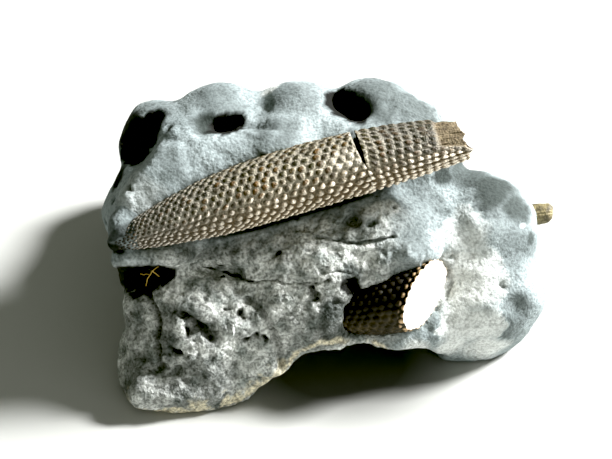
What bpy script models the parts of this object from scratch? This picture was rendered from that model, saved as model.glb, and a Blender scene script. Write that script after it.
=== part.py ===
"""A lump of grey marly limestone with fossil sea-urchin spines set in it.

One long granulated spine, cracked across, lies along the top of the block's sloping front.
A second spine runs through the block below it and is broken open on a slanting cleavage plane,
and the stub of a third stands out at the right. The block rests on its flat underside, which is
hollowed into a low arch at the front.

The front slopes, so most of the shapes are placed in its own frame, that of the empty "slope":
x along the block, y up the slope and z out of it. Tables are in millimetres and degrees.
"""

import math

import bmesh
import bpy
from mathutils import Matrix, Vector

MM = 0.001

# ---- driving dimensions, in millimetres and degrees ----

SLOPE_ANGLE = 52.0  # how far the front leans back from flat
SLOPE_HEIGHT = 19.75  # of the slope frame's origin above the underside
CENTRE = (2.7, 12.8)  # middle of the block's footprint, which becomes the object's origin

SPINE_RADIUS = 3.35  # of a full-grown spine where it is widest, to the foot of its granules
GRANULE_ROWS = 28
GRANULE_PITCH = 1.0  # from one granule to the next along a row
GRANULE_HEIGHT = 0.3
SOCKET_GAP = 0.3  # between a spine and the stone

CRACK_WIDTH = 0.33
BARE_END = 3.0  # length of bare, ribbed core at the broken end of the long spine

VOXEL = 0.6  # grain at which the stone's lumps are fused
ROUGHNESS_SCALE = 5.5  # size of the dents and swellings of its surface
ROUGHNESS_HEIGHT = 2.2
STONE_DETAIL = 0.051  # share of the fused stone's faces that is kept


def clear_scene():
    """Removes every object of the scene that Blender opened with."""
    for obj in list(bpy.data.objects):
        bpy.data.objects.remove(obj)


def make_collection(name):
    collection = bpy.data.collections.new(name)
    bpy.context.scene.collection.children.link(collection)
    return collection


def make_empty(name, collection, parent=None, location=(0, 0, 0), lean=0.0):
    empty = bpy.data.objects.new(name, None)
    empty.parent = parent
    empty.location = Vector(location) * MM
    empty.rotation_euler = (math.radians(lean), 0, 0)
    empty.hide_render = True
    collection.objects.link(empty)
    return empty


def make_object(name, bm, collection, parent):
    mesh = bpy.data.meshes.new(name)
    bm.to_mesh(mesh)
    bm.free()
    obj = bpy.data.objects.new(name, mesh)
    obj.parent = parent
    collection.objects.link(obj)
    return obj


def make_material(name, colour, roughness):
    material = bpy.data.materials.new(name)
    material.use_nodes = True
    shader = material.node_tree.nodes["Principled BSDF"]
    shader.inputs["Base Color"].default_value = (*colour, 1)
    shader.inputs["Roughness"].default_value = roughness
    shader.inputs["Metallic"].default_value = 0
    return material


def cut(obj, name, bm, cutters, parent):
    """Takes the closed shape in bm away from obj."""
    cutter = make_object(name + "_cutter", bm, cutters, parent)
    cutter.hide_render = True
    cutter.display_type = "WIRE"
    modifier = obj.modifiers.new(name, "BOOLEAN")
    modifier.operation = "DIFFERENCE"
    modifier.solver = "EXACT"
    modifier.object = cutter
    return cutter


def fuse(obj, name, voxel):
    """Rebuilds obj as one skin round all that it holds."""
    modifier = obj.modifiers.new(name, "REMESH")
    modifier.mode = "VOXEL"
    modifier.voxel_size = voxel * MM


# ---- the spines ----


class Spine:
    """A spindle-shaped spine: a gently bowed axis in the slope frame, and a radius along it.

    The axis is a quadratic curve from start through middle to end. The radius is greatest at
    the share `widest` of the axis. Towards either end it falls as a power of the distance, and
    would reach nothing at the shares `widest - left_reach` and `widest + right_reach`.
    """

    def __init__(self, start, middle, end, radius, widest, left_reach, right_reach):
        self.start, self.end = Vector(start), Vector(end)
        self.handle = 2 * Vector(middle) - (self.start + self.end) / 2
        self.full_radius, self.widest = radius, widest
        self.left_reach, self.right_reach = left_reach, right_reach

    def axis(self, t):
        return (1 - t) ** 2 * self.start + 2 * t * (1 - t) * self.handle + t**2 * self.end

    def frame(self, t):
        """Directions along the axis, out of the slope and up the slope, square to each other."""
        along = (1 - t) * (self.handle - self.start) + t * (self.end - self.handle)
        along.normalize()
        out = Vector((0, 0, 1))
        out = (out - along * out.dot(along)).normalized()
        return along, out, out.cross(along)

    def radius(self, t):
        if t < self.widest:
            fall = ((self.widest - t) / self.left_reach) ** 2.2
        else:
            fall = ((t - self.widest) / self.right_reach) ** 2.6
        return self.full_radius * (1 - fall)

    def half_pitches(self, begin, stop):
        """Shares of the axis half a granule pitch apart. Granules crowd where a spine is thin."""
        shares, t, run, step = [begin], begin, 0.0, 0.0005
        while t + step < stop:
            run += (self.axis(t + step) - self.axis(t)).length
            t += step
            if run >= GRANULE_PITCH / 2 * (self.radius(t) / self.full_radius) ** 0.6:
                shares.append(t)
                run = 0.0
        return shares

    def ring(self, t, radii, slant=0.0):
        """Points round the axis, one for each radius. slant tips the ring along the axis."""
        along, out, up = self.frame(t)
        points = []
        for j, radius in enumerate(radii):
            angle = 2 * math.pi * j / len(radii)
            points.append(
                self.axis(t)
                + out * (radius * math.cos(angle))
                + up * (radius * math.sin(angle))
                + along * (radius * math.sin(angle) * slant)
            )
        return points


def granule_radii(base, ring_number):
    """A ring of radii with every other point raised, out of step with the ring before it."""
    height = GRANULE_HEIGHT * (base / SPINE_RADIUS) ** 0.5
    return [base + height * ((ring_number + j) % 2 == 0) for j in range(GRANULE_ROWS)]


def loft(rings):
    """Joins rings into a closed skin with a fan at each end.

    The diagonal of each cell runs between its two low corners, so that a raised point and the
    cells round it make a pyramid of its own.
    """
    bm = bmesh.new()
    skins = [[bm.verts.new(Vector(point) * MM) for point in ring] for ring in rings]
    count = len(rings[0])
    for i in range(len(skins) - 1):
        for j in range(count):
            k = (j + 1) % count
            a, b, c, d = skins[i][j], skins[i][k], skins[i + 1][k], skins[i + 1][j]
            if (i + j) % 2 == 0:
                bm.faces.new((a, b, d))
                bm.faces.new((b, c, d))
            else:
                bm.faces.new((a, b, c))
                bm.faces.new((a, c, d))
    for skin in (skins[0], skins[-1]):
        middle = sum((v.co for v in skin), Vector()) / count
        tip = bm.verts.new(middle)
        for j in range(count):
            bm.faces.new((tip, skin[j], skin[(j + 1) % count]))
    bmesh.ops.recalc_face_normals(bm, faces=bm.faces)
    return bm


def granulated(spine, begin, stop, begin_slant=0.0, stop_slant=0.0):
    """Rings of a granulated length of a spine. The slant of each end dies out along it."""
    shares = spine.half_pitches(begin, stop)
    rings = []
    for i, t in enumerate(shares):
        slant = begin_slant * max(0.0, 1 - i / 8)
        slant += stop_slant * max(0.0, 1 - (len(shares) - 1 - i) / 8)
        rings.append(spine.ring(t, granule_radii(spine.radius(t), i), slant))
    return rings


def socket(spine, begin, stop, ring_count=14, sides=20):
    """The room that a spine takes up in the stone, with a gap all round."""
    rings = []
    for i in range(ring_count + 1):
        t = begin + (stop - begin) * i / ring_count
        radius = spine.radius(t) + GRANULE_HEIGHT + SOCKET_GAP
        rings.append(spine.ring(t, [radius] * sides))
    return loft(rings)


LONG_SPINE = Spine(
    start=(-20.0, -1.35, -0.2),
    middle=(-1.0, 5.25, 0),
    end=(16.5, 9.55, 0),
    radius=SPINE_RADIUS,
    widest=0.46,
    left_reach=0.53,
    right_reach=0.78,
)
CRACK_AT = 0.69  # share of the long spine's axis

SECOND_SPINE = Spine(
    start=(3.2, -8.8, -6.8),
    middle=(8.7, -8.0, -4.9),
    end=(14.8, -6.4, -2.6),
    radius=3.25,
    widest=0.8,
    left_reach=1.3,
    right_reach=1.8,
)
CLEAVAGE_POINT = (13.0, -6.9, -3.3)
CLEAVAGE_NORMAL = (0.81, -0.43, 0.38)

THIRD_SPINE = Spine(
    start=(20.6, 0.9, -12.2),
    middle=(24.2, 1.5, -11.3),
    end=(27.7, 1.9, -10.9),
    radius=1.15,
    widest=0.4,
    left_reach=1.2,
    right_reach=1.1,
)


def axis_share(spine, length):
    """The share of a spine's axis that a length of it near the middle takes."""
    return length / ((spine.axis(0.51) - spine.axis(0.49)).length / 0.02)


def long_spine_end():
    """The length beyond the crack: granulated, then a bare core whose ribs run lengthwise."""
    spine = LONG_SPINE
    begin = CRACK_AT + axis_share(spine, CRACK_WIDTH)
    bare = 1.0 - axis_share(spine, BARE_END)
    rings = granulated(spine, begin, bare, begin_slant=-0.09)
    ribs = 5
    for i in range(1, ribs + 1):
        t = bare + (1.0 - bare) * i / ribs
        radii = []
        for j in range(GRANULE_ROWS):
            rise = math.sin(2 * math.pi * j / GRANULE_ROWS)
            core = spine.radius(t) - (0.35 if rise > -0.35 else 0.0)
            radii.append(core + 0.14 * (j % 2))
        rings.append(spine.ring(t, radii, slant=-0.25 * i / ribs))
    return loft(rings)


# ---- the stone ----

SLOPE_LUMPS = (
    # centre, radii, turn about z; in the slope frame
    ((-14.9, 1.9, -6.2), (6.9, 6.5, 6.7), 0),  # left shoulder, round the long spine's tip
    ((-10.4, 5.4, -6.6), (8.6, 7.0, 6.6), 20),
    ((-3.9, 7.0, -7.2), (8.4, 5.6, 6.8), 15),
    ((6.0, 8.6, -8.4), (9.6, 5.8, 6.6), 10),
    ((-16.0, 9.1, -9.4), (4.9, 5.4, 5.5), 0),  # lobes along the back
    ((-9.6, 10.5, -9.4), (5.4, 5.8, 5.9), 0),
    ((-0.6, 10.3, -9.4), (6.2, 6.0, 6.2), 0),
    ((7.2, 10.6, -9.6), (6.9, 6.0, 6.6), 0),
    ((12.2, 9.4, -10.4), (4.7, 5.5, 5.9), 0),
    ((-1.0, -2.4, -8.6), (14.0, 7.2, 6.8), 5),  # front face below the long spine
    ((6.2, -0.6, -7.9), (9.4, 5.2, 6.4), 8),  # ledge over the second spine
    ((3.2, -4.5, -6.7), (5.4, 3.9, 5.7), 30),
    ((1.4, -8.6, -7.2), (4.4, 4.9, 5.6), 0),
    ((8.0, -9.6, -10.2), (12.0, 5.4, 5.8), 0),  # lip below it
    ((-11.6, -9.6, -8.8), (8.4, 6.6, 6.9), 0),  # bulge over the left foot
    ((-15.2, -6.4, -8.2), (5.5, 5.4, 5.4), 0),
    ((-3.4, -8.4, -9.4), (7.2, 6.6, 7.0), 0),
    ((19.6, 0.4, -11.2), (5.9, 5.9, 6.8), 0),  # knobs at the right
    ((20.4, -6.2, -12.4), (6.2, 7.3, 7.0), 0),
    ((15.4, -1.0, -11.6), (6.2, 7.6, 6.4), 0),
)

UPRIGHT_LUMPS = (
    # centre, radii, turn about z; in the upright frame
    ((-13.0, 1.0, 1.0), (8.0, 8.6, 7.0), 0),  # left foot and its two corners
    ((-17.4, -2.8, 0.8), (2.7, 3.4, 4.4), 0),
    ((-8.9, -3.4, 0.8), (3.0, 3.0, 3.6), 0),
    ((-4.2, 1.2, 3.4), (6.6, 7.2, 6.4), 0),
    ((18.0, 6.3, 2.6), (7.3, 5.8, 6.0), 0),  # right foot
    ((-9.0, 10.0, 10.0), (12.6, 8.6, 12.5), 12),  # body behind
    ((6.5, 11.6, 10.0), (14.7, 8.2, 12.5), -6),
    ((-8.0, 11.6, 16.5), (8.5, 6.6, 7.0), 10),
    ((7.0, 12.4, 16.5), (9.5, 6.4, 7.0), -8),
    ((16.0, 9.0, 8.0), (8.4, 6.7, 8.0), -20),
    ((2.0, 11.0, 1.0), (19.5, 8.4, 7.0), 0),
    ((-8.0, 20.5, 8.0), (12.6, 11.0, 10.8), 12),  # the back, which falls away to the ground
    ((-14.0, 25.0, 6.8), (7.4, 7.8, 8.2), 0),
    ((6.5, 21.5, 5.5), (12.0, 9.0, 11.5), -14),
    ((-3.0, 25.0, 1.0), (12.5, 7.6, 9.0), 6),
)

HOLLOWS = (
    # centre, radii, turn about z; in the slope frame
    ((-17.4, 9.3, -3.8), (2.3, 2.7, 4.0), 25),  # deep pits between the lobes
    ((-8.9, 11.2, -3.6), (2.0, 1.3, 3.6), 10),
    ((4.9, 13.0, -4.2), (2.3, 1.4, 3.4), -38),
    ((-19.0, -5.5, -4.0), (4.3, 2.1, 5.4), 10),  # cavity under the left shelf
    ((-11.6, -4.1, -2.8), (6.4, 0.85, 3.8), -10),  # crack that runs on from it
    ((-11.4, -10.4, -1.9), (1.6, 1.7, 1.6), 0),
)

ARCH = ((5.2, -3.4, 0.0), (11.0, 12.0, 6.2))  # centre and radii in the upright frame


def add_lump(bm, centre, radii, turn=0.0, lean=Matrix(), detail=3):
    """Adds an ellipsoid, turned about its own z, in the frame that lean stands in."""
    placed = (
        lean
        @ Matrix.Translation(Vector(centre) * MM)
        @ Matrix.Rotation(math.radians(turn), 4, "Z")
        @ Matrix.Diagonal((*(Vector(radii) * MM), 1))
    )
    bmesh.ops.create_icosphere(bm, subdivisions=detail, radius=1, matrix=placed)


def make_stone(parts, cutters, block, slope):
    lean = Matrix.Translation((0, 0, SLOPE_HEIGHT * MM)) @ Matrix.Rotation(
        math.radians(SLOPE_ANGLE), 4, "X"
    )
    bm = bmesh.new()
    for centre, radii, turn in SLOPE_LUMPS:
        add_lump(bm, centre, radii, turn, lean)
    for centre, radii, turn in UPRIGHT_LUMPS:
        add_lump(bm, centre, radii, turn)
    stone = make_object("stone_block", bm, parts, block)

    fuse(stone, "fuse", VOXEL)
    blend = stone.modifiers.new("blend", "SMOOTH")
    blend.iterations = 30

    hollows = bmesh.new()
    for centre, radii, turn in HOLLOWS:
        add_lump(hollows, centre, radii, turn)
    fuse(cut(stone, "hollows", hollows, cutters, slope), "fuse", VOXEL / 2)
    arch = bmesh.new()
    add_lump(arch, *ARCH, detail=4)
    cut(stone, "arch", arch, cutters, block)

    clouds = bpy.data.textures.new("dents", "CLOUDS")
    clouds.noise_scale = ROUGHNESS_SCALE * MM
    clouds.noise_depth = 2
    roughen = stone.modifiers.new("roughen", "DISPLACE")
    roughen.texture = clouds
    roughen.texture_coords = "LOCAL"
    roughen.mid_level = 0.45
    roughen.strength = ROUGHNESS_HEIGHT * MM
    fuse(stone, "soften", VOXEL)
    ease = stone.modifiers.new("ease", "SMOOTH")
    ease.iterations = 2
    thin = stone.modifiers.new("thin", "DECIMATE")
    thin.ratio = STONE_DETAIL

    ground = bmesh.new()
    placed = Matrix.Translation((0, 0, -10 * MM)) @ Matrix.Diagonal(
        (90 * MM, 90 * MM, 20 * MM, 1)
    )
    bmesh.ops.create_cube(ground, size=1, matrix=placed)
    cut(stone, "underside", ground, cutters, block)
    return stone


def main():
    clear_scene()
    parts = make_collection("fossil_spines_in_stone")
    cutters = make_collection("cutters")
    block = make_empty("block", parts, location=(-CENTRE[0], -CENTRE[1], 0))
    slope = make_empty("slope", parts, block, (0, 0, SLOPE_HEIGHT), SLOPE_ANGLE)

    stone = make_stone(parts, cutters, block, slope)
    stone.data.materials.append(make_material("grey_limestone", (0.33, 0.34, 0.33), 0.9))
    cut(stone, "long_socket", socket(LONG_SPINE, -0.012, 1.02), cutters, slope)
    cut(stone, "second_socket", socket(SECOND_SPINE, -0.02, 1.0), cutters, slope)
    cut(stone, "third_socket", socket(THIRD_SPINE, -0.04, 1.0, 8, 16), cutters, slope)

    fossil = make_material("brown_fossil_calcite", (0.36, 0.27, 0.16), 0.5)
    shaft = loft(granulated(LONG_SPINE, 0.0, CRACK_AT, stop_slant=-0.115))
    end = long_spine_end()
    second = loft(granulated(SECOND_SPINE, 0.0, 1.0))
    stub = loft(
        [
            THIRD_SPINE.ring(t, [THIRD_SPINE.radius(t) * swell] * 12)
            for t, swell in ((0, 1), (0.3, 1), (0.6, 1), (0.85, 1), (0.96, 0.75))
        ]
    )
    for name, bm in (
        ("spine_shaft", shaft),
        ("spine_end", end),
        ("second_spine", second),
        ("spine_stub", stub),
    ):
        piece = make_object(name, bm, parts, slope)
        piece.data.materials.append(fossil)

    # the second spine is broken open on a cleavage plane
    normal = Vector(CLEAVAGE_NORMAL).normalized()
    turn = normal.to_track_quat("Z", "Y").to_matrix().to_4x4()
    size = 12 * MM
    beyond = bmesh.new()
    placed = (
        Matrix.Translation(Vector(CLEAVAGE_POINT) * MM)
        @ turn
        @ Matrix.Translation((0, 0, size / 2))
    )
    bmesh.ops.create_cube(beyond, size=size, matrix=placed)
    cut(parts.objects["second_spine"], "cleavage", beyond, cutters, slope)


main()
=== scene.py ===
"""Fossil sea-urchin spines in a lump of grey marly limestone: the looks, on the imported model."""
import math

import bmesh
import bpy
import numpy as np
from mathutils import Matrix, Vector, noise
from mathutils.bvhtree import BVHTree


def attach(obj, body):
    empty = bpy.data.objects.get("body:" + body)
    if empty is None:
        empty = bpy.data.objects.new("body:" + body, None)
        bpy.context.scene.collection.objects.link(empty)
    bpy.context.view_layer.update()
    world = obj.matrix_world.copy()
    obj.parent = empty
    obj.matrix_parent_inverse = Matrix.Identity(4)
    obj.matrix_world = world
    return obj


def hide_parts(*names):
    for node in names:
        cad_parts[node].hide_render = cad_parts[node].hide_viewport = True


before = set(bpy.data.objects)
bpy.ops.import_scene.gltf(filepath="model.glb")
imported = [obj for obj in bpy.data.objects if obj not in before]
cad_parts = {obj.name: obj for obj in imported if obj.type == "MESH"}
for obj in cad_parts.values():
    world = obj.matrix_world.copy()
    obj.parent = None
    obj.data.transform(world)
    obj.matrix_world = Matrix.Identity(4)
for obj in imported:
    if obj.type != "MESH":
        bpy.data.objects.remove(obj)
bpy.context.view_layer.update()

# ---- The long spine -------------------------------------------------------------------------
# The primary spine of a cidaroid sea urchin, 39 mm long: one crystal of calcite, spindle-shaped,
# with 28 rows of rounded granules. A fracture crosses it two thirds along, and each side of the
# fracture is a piece of its own.

MM = 0.001
SLOPE_LEAN = math.radians(52)  # the front of the block leans back this far from flat
SLOPE_ORIGIN = np.array((-2.7, -12.8, 19.75))  # of the frame that lies in that front, in mm
SLOPE_AXES = np.array(
    (
        (1, 0, 0),
        (0, math.cos(SLOPE_LEAN), math.sin(SLOPE_LEAN)),  # up the slope
        (0, -math.sin(SLOPE_LEAN), math.cos(SLOPE_LEAN)),  # out of it
    )
)


def from_slope(points):
    """Points in the slope's frame, in mm, to the model's frame, in metres."""
    return (np.asarray(points, float) @ SLOPE_AXES + SLOPE_ORIGIN) * MM


class Spindle:
    """A spine's bowed axis in the slope's frame, and its radius along it, in mm."""

    LEFT_TAPER, RIGHT_TAPER = 2.2, 2.6  # the higher, the later the spindle narrows

    def __init__(self, start, middle, end, radius, widest, reach):
        self.start, self.end = np.array(start, float), np.array(end, float)
        self.handle = 2 * np.array(middle, float) - (self.start + self.end) / 2
        self.full, self.widest, self.reach = radius, widest, reach

    def axis(self, t):
        t = np.asarray(t, float)[..., None]
        return (1 - t) ** 2 * self.start + 2 * t * (1 - t) * self.handle + t**2 * self.end

    def frame(self, t):
        """The directions along the axis, out of the slope and across both."""
        t = np.asarray(t, float)[..., None]
        along = (1 - t) * (self.handle - self.start) + t * (self.end - self.handle)
        along = along / np.linalg.norm(along, axis=-1, keepdims=True)
        out = np.array((0.0, 0.0, 1.0)) - along * along[..., 2:3]
        out = out / np.linalg.norm(out, axis=-1, keepdims=True)
        return along, out, np.cross(out, along)

    def radius(self, t):
        t = np.asarray(t, float)
        left = np.clip((self.widest - t) / self.reach[0], 0, None) ** self.LEFT_TAPER
        right = np.clip((t - self.widest) / self.reach[1], 0, None) ** self.RIGHT_TAPER
        return self.full * (1 - left - right)

    def skin(self, t, angle, radius, slant=0.0):
        """Points at the shares t of the axis and the angles round it, both as grids."""
        along, out, up = self.frame(t)
        c, s, r = (value[..., None] for value in (np.cos(angle), np.sin(angle), radius))
        tipped = along * r * s * np.asarray(slant)[..., None]
        return self.axis(t) + out * r * c + up * r * s + tipped


GRANULE_ROWS = 28
ROW_PITCH = 0.75  # mm, from one row to the next round the spine
GRANULE_PITCH = 1.0  # mm, from one granule to the next along a row
GRANULE_HEIGHT = 0.27  # mm
STRAY_ALONG, STRAY_ACROSS = 0.4, 0.26  # how far out of place one lies, in half pitches and rows
STEPS = 5  # rings of the mesh to half a pitch
ROW_SIDES = 8  # sides of the mesh to a row
SIDES = GRANULE_ROWS * ROW_SIDES


def lattice(spindle, begin, stop):
    """Each ring's share of the axis, and how many half pitches it lies from begin."""
    t = np.linspace(begin, stop, 3000)
    step = np.linalg.norm(np.diff(spindle.axis(t), axis=0), axis=1)
    pitch = GRANULE_PITCH / 2 * (spindle.radius(t) / spindle.full) ** 0.6  # closer where it is thin
    run = np.concatenate(([0], np.cumsum(step / pitch[:-1])))
    half_pitches = np.linspace(0, run[-1], int(run[-1] * STEPS) + 1)
    return np.interp(half_pitches, run, t), half_pitches


def granules(i, j, seed, plump, drawn=0.0):
    """Height from 0 to 1 of close-set rounded granules, a number of each granule's own, and how
    far across it towards the lower right, from -1 to 1.

    i counts half pitches along the spine and j rows round it. A granule sits where both are
    whole and their sum is even, a little out of place and of its own size. plump is about the
    radius of one, in mm, and drawn makes them longer along the spine.
    """
    rng = np.random.default_rng(seed)
    table = rng.random((int(i.max() - i.min()) + 8, GRANULE_ROWS, 5))
    base = int(i.min()) - 3
    s, d = np.floor((i + j) / 2 + 0.5), np.floor((i - j) / 2 + 0.5)
    height, tone, side = np.zeros(i.shape), np.full(i.shape, 0.5), np.zeros(i.shape)
    for ds in (-1, 0, 1):
        for dd in (-1, 0, 1):
            gi, gj = s + ds + d + dd, s + ds - d - dd
            line = (gi - base).astype(int).clip(0, len(table) - 1)
            own = np.moveaxis(table[line, gj.astype(int) % GRANULE_ROWS], -1, 0)
            a = (i - gi + STRAY_ALONG * (own[0] - 0.5)) * GRANULE_PITCH / 2 * (1 - drawn)
            b = (j - gj + STRAY_ACROSS * (own[1] - 0.5)) * ROW_PITCH
            size = plump * (0.89 + 0.24 * own[2])
            away = ((a / size) ** 2 + (b / (size * 0.92)) ** 2).clip(0, 1)
            dome = (1 - away) ** 0.75 * (0.8 + 0.3 * own[3])
            dome = np.minimum(dome, 0.86 + 0.2 * own[4])  # some are worn flat
            higher = dome > height
            height, tone = np.where(higher, dome, height), np.where(higher, own[2], tone)
            side = np.where(higher, 0.7 * (a - b) / size, side)
    return height, tone, side


def field(points, size, seed=0, depth=1):
    """Smooth noise from -1 to 1 at points in mm, with swellings of about the size given."""
    shift = Vector((seed * 17.3, seed * 5.7, seed * -9.1))
    flat = np.asarray(points, float).reshape(-1, 3) / size
    if depth == 1:
        values = [noise.noise(Vector(p) + shift) for p in flat]
    else:
        values = [noise.fractal(Vector(p) + shift, 0.9, 2.1, depth) for p in flat]
    return np.array(values).reshape(np.shape(points)[:-1])


def ease(x, low, high):
    """0 at low, 1 at high, and smooth between. low may be the larger of the two."""
    x = ((x - low) / (high - low)).clip(0, 1)
    return x * x * (3 - 2 * x)


def placed(name, data):
    """A new object with this data, in the scene."""
    made = bpy.data.objects.new(name, data)
    bpy.context.scene.collection.objects.link(made)
    return made


def mark(mesh, values):
    """Keeps a number at each point of the mesh, under each name, for the material to read."""
    for key, numbers in values.items():
        attribute = mesh.attributes.new(key, "FLOAT", "POINT")
        attribute.data.foreach_set("value", numbers.astype(np.float32))


def closed_grid(name, rings, values, caps):
    """A tube of quads through the grid of points `rings`, closed by the point lists `caps`.

    values holds a grid for each attribute that the material reads. A cap is a row of smaller
    and smaller rings and takes its values as plain numbers.
    """
    rows, count = rings.shape[:2]
    points = [rings.reshape(-1, 3)]
    data = {key: [grid.reshape(-1)] for key, grid in values.items()}
    faces, total = [], rows * count

    def bridge(first, second):
        for j in range(count):
            k = (j + 1) % count
            faces.append((first + j, first + k, second + k, second + j))

    for i in range(rows - 1):
        bridge(i * count, (i + 1) * count)
    for at, (cap, numbers) in zip((0, (rows - 1) * count), caps):
        edge = at
        for ring in cap[:-1]:
            points.append(ring)
            bridge(*((total, edge) if at == 0 else (edge, total)))
            edge, total = total, total + count
        points.append(cap[-1][:1])
        for j in range(count):
            k = (j + 1) % count
            faces.append((total, edge + j, edge + k)[:: -1 if at == 0 else 1])
        total += 1
        for key in data:
            data[key].append(np.full(count * (len(cap) - 1) + 1, float(numbers.get(key, 0))))
    mesh = bpy.data.meshes.new(name)
    mesh.from_pydata(from_slope(np.concatenate(points)).tolist(), [], faces)
    mesh.polygons.foreach_set("use_smooth", np.ones(len(mesh.polygons), bool))
    mark(mesh, {key: np.concatenate(parts) for key, parts in data.items()})
    mesh.update()
    return placed(name, mesh)


def end_rings(ring, count, direction, rise):
    """Rings from a piece's last ring to its middle, each moved by rise(points, k) along it."""
    middle = ring.mean(axis=0)
    cap = []
    for k in range(1, count + 1):
        points = middle + (ring - middle) * (1 - k / count)
        cap.append(points + np.asarray(direction) * rise(points, k)[:, None])
    cap[-1][:] = cap[-1].mean(axis=0)
    return cap


def broken_cap(ring, inward, depth, seed, count=9):
    """An end that is rough like a break."""

    def rough(points, k):
        return (field(points, 1.1, seed, 3) + 0.5) * depth * min(1, k / 2)

    return end_rings(ring, count, inward, rough)


LONG_SPINE = Spindle(
    (-20.0, -1.35, -0.2), (-1.0, 5.25, 0), (16.5, 9.55, 0), 3.35, widest=0.46, reach=(0.53, 0.78)
)
LONG_LENGTH = 37.6  # mm, of its axis
CRACK_AT = 0.69  # as a share of that
CRACK_WIDTH = 0.26  # mm
BARE_LENGTH = 3.0  # mm, at the right end, where the skin with its granules is gone
END_RINGS = 7  # how far a break tells on the piece
SLANT_REACH = 8  # half pitches, how far a tipped end does


def spine_length(name, begin, stop, seed, slants, bare=False):
    """One piece of the long spine. slants tip its two ends, and die out along it."""
    shares, half_pitches = lattice(LONG_SPINE, begin, stop)
    angles = np.arange(SIDES) * 2 * math.pi / SIDES
    t, angle = np.meshgrid(shares, angles, indexing="ij")
    rows = np.arange(SIDES) / ROW_SIDES
    i = np.repeat(half_pitches[:, None], SIDES, axis=1)
    j = np.repeat(rows[None, :], len(shares), axis=0)
    base = LONG_SPINE.radius(t)
    sparse = np.s_[:, ::ROW_SIDES]
    swell = field(LONG_SPINE.skin(t[sparse], angle[sparse], base[sparse]), 3.5, seed + 3, 2)
    swell = np.repeat(swell, ROW_SIDES, axis=1)
    lift = np.sin(angle)
    plump = 0.43 - 0.015 * ease(-lift, -0.1, 0.5)

    # each row of granules drifts a little along the spine
    circle = np.stack((3 * np.cos(angles), 3 * np.sin(angles), angles * 0), axis=-1)
    drift = field(circle[None, ::ROW_SIDES] + (0, 0, 6.0) * shares[:, None, None], 1.0, seed + 4)
    drift = [np.interp(rows, np.arange(GRANULE_ROWS + 1), (*line, line[0])) for line in drift]
    drift = 0.9 * np.stack(drift)
    if bare:  # here the rows stand side by side, and their granules run together
        drift = drift + (j + GRANULE_ROWS / 2) % GRANULE_ROWS - GRANULE_ROWS / 2
    drawn = 0.3 * ease(t, 0.78, 0.9)
    j = j + 0.12 * np.roll(swell, 9, axis=0)
    height, tone, side = granules(i + drift, j, seed, plump, drawn)

    exposed = np.zeros(t.shape)
    if bare:
        edge = 1 - BARE_LENGTH / LONG_LENGTH
        edge = edge + 0.012 * np.roll(swell, 40, axis=1) + 0.085 * ease(-lift, 0.1, 0.5)
        exposed = ease(t, -0.01, 0.004) * ease(t - edge, -0.012, 0.012)
        fibres = field(np.stack((angle * 9, t * 14, t * 0), axis=-1), 1, seed + 5, 2)
        ribs = np.abs(np.sin(angle * GRANULE_ROWS / 2 + 2 * swell)) ** 0.7
        ridge = ease(t, edge - 0.07, edge - 0.02) * ease(lift, -0.2, 0.2)
        height = height * (1 - exposed) * (1 - 0.45 * ridge) + 0.5 * ridge * ribs * (1 - exposed)
        base = base - exposed * (0.22 + 0.16 * fibres + 0.1 * swell)
    tall = GRANULE_HEIGHT * (1 - 0.35 * ease(lift, -0.2, 0.5))  # worn lower above
    tall = tall * np.sqrt(LONG_SPINE.radius(t) / LONG_SPINE.full)
    radius = base + 0.05 * swell + height * tall
    left = slants[0] * (1 - i / SLANT_REACH).clip(0)
    right = slants[1] * (1 - (i.max() - i) / SLANT_REACH).clip(0)
    rings = LONG_SPINE.skin(t, angle, radius, left + right)

    # the ends are ragged, and the crack gapes above
    along = LONG_SPINE.frame(0.7)[0]
    gape = ease(np.sin(angles), -0.35, 0.45) * 0.22 - 0.1
    rag = field(circle, 1.2, seed + 9, 3)
    right_rag = np.roll(rag, 31) * 0.5 if bare else np.roll(rag, 31) * 0.09 - gape
    for k in range(END_RINGS):
        near = 1 - k / END_RINGS
        if begin > 0:
            rings[k] += along * ((gape + rag * 0.09) * near)[:, None]
        rings[-1 - k] += along * (right_rag * near)[:, None]

    # tips are rubbed pale in a patch left of the crack, and are paler along its edge
    patch = (1 - ((t - 0.645) / 0.05) ** 2 - ((lift - 0.1) / 0.4) ** 2).clip(0) ** 0.5
    patch = patch * (0.35 + 0.65 * (tone > 0.4))
    brink = ease(t, CRACK_AT - 0.012, CRACK_AT - 0.004) * (t < CRACK_AT + 0.001)
    values = dict(height=height, tone=tone, lift=lift, share=t, bare=exposed, side=side)
    values.update(worn=np.maximum(0.6 * patch, 0.4 * brink), broken=np.zeros(t.shape))
    broken = {"broken": 1, "bare": float(bare)}
    caps = (
        (broken_cap(rings[0], along, 0.12, seed + 1), broken),
        (broken_cap(rings[-1], -along, 0.3 if bare else 0.12, seed + 2), broken),
    )
    return closed_grid(name, rings, values, caps)


crack_stop = CRACK_AT + CRACK_WIDTH / LONG_LENGTH
spine_shaft = spine_length("spine_shaft_granulated", 0.0, CRACK_AT, 11, (0.0, -0.115))
spine_end = spine_length("spine_end_granulated", crack_stop, 1.0, 23, (-0.09, -0.25), bare=True)


def linear(colour):
    """An sRGB hex colour as linear red, green, blue and alpha."""
    parts = [int(colour[k : k + 2], 16) / 255 for k in (1, 3, 5)]
    return [c / 12.92 if c < 0.04045 else ((c + 0.055) / 1.055) ** 2.4 for c in parts] + [1.0]


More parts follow.
